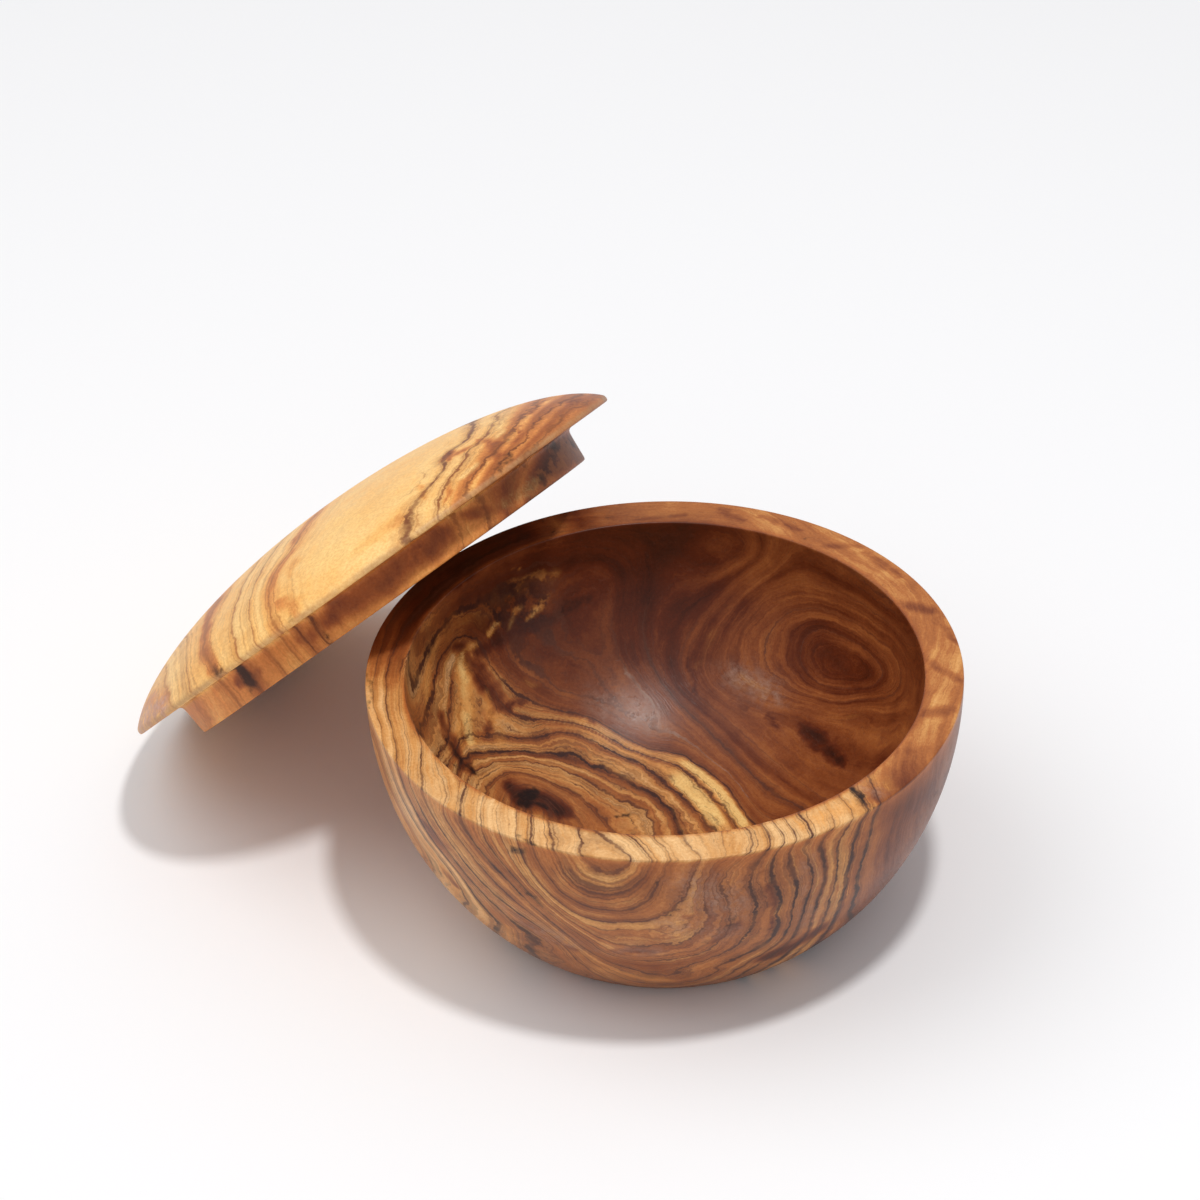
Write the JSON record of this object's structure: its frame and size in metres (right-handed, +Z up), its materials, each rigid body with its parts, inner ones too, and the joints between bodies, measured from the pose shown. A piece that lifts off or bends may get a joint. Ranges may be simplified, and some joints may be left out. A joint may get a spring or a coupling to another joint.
{
  "type": "lidded bowl",
  "caption": "Small turned wooden bowl with a flat rim and flat foot; its domed lid, with a solid round plug underneath, is off and leans on the rim.",
  "frame": {"origin": "middle of the bowl's flat foot, on the surface that it stands on", "axes": "+Z up along the bowl's turning axis, -Y towards the viewer of the picture, +X to the right; the lid leans from the back left, 141.6 degrees from +X towards +Y"},
  "size_m": [0.1701, 0.1617, 0.0877],
  "materials": {
    "bowl_wood": "olive wood, sanded and oiled to a soft satin, strong dark figure",
    "lid_wood": "olive wood, sanded and lightly oiled, paler with a few dark lines"
  },
  "bodies": {
    "bowl": {"bowl": "bowl_wood"},
    "lid": {"lid": "lid_wood"}
  },
  "joints": [
    {"name": "lid_lift", "type": "slide", "parent": "bowl", "child": "lid", "axis": [0, 0, 1], "range_m": [0, 0.09]}
  ]
}
